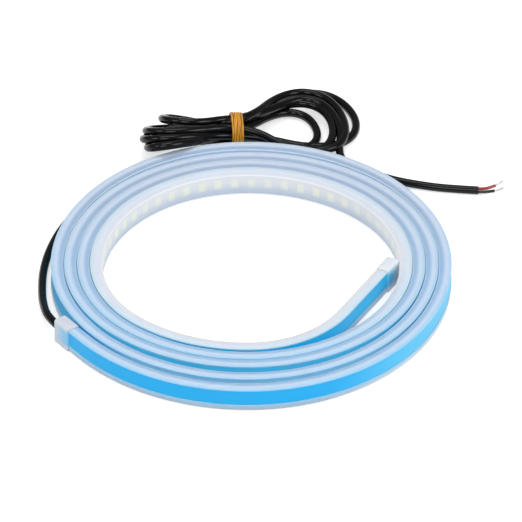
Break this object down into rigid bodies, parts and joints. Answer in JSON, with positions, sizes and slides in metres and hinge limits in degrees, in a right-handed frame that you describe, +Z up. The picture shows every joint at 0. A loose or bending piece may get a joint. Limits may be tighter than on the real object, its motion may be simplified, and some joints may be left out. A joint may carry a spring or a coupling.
{
  "type": "led light strip",
  "caption": "Flexible LED strip in a milky silicone channel, coiled on edge, with blue-lined adhesive back, end caps and a tied black cable ending in bare cores.",
  "frame": {"origin": "middle of the coil's footprint, on the surface its end caps rest on", "axes": "+Z up, across the strip's height; +X to the right and -Y towards the viewer of the picture"},
  "size_m": [0.1765, 0.1931, 0.0134],
  "materials": {
    "milky_silicone": "satin",
    "cap_silicone": "satin",
    "blue_liner": "satin",
    "tape_foam": "matte",
    "board_film": "matte",
    "led_phosphor": "satin",
    "resistor_body": "satin",
    "cable_sheath": "gloss",
    "red_insulation": "gloss",
    "black_insulation": "gloss",
    "orange_band": "satin",
    "tin": "satin"
  },
  "bodies": {
    "root": {"silicone_sleeve": "milky_silicone", "tape_liner": "blue_liner", "adhesive_tape": "tape_foam", "circuit_board": "board_film", "led_chips": "led_phosphor", "chip_resistors": "resistor_body", "plain_end_cap": "cap_silicone", "cable_end_cap": "cap_silicone", "red_lead": "red_insulation", "black_lead": "black_insulation", "solder_joints": "tin", "cable_lead_in": "cable_sheath", "cable_hank": "cable_sheath", "cable_tail": "cable_sheath", "hank_tie": "orange_band", "red_core_end": "red_insulation", "black_core_end": "black_insulation", "red_strands": "tin", "black_strands": "tin"}
  },
  "joints": []
}
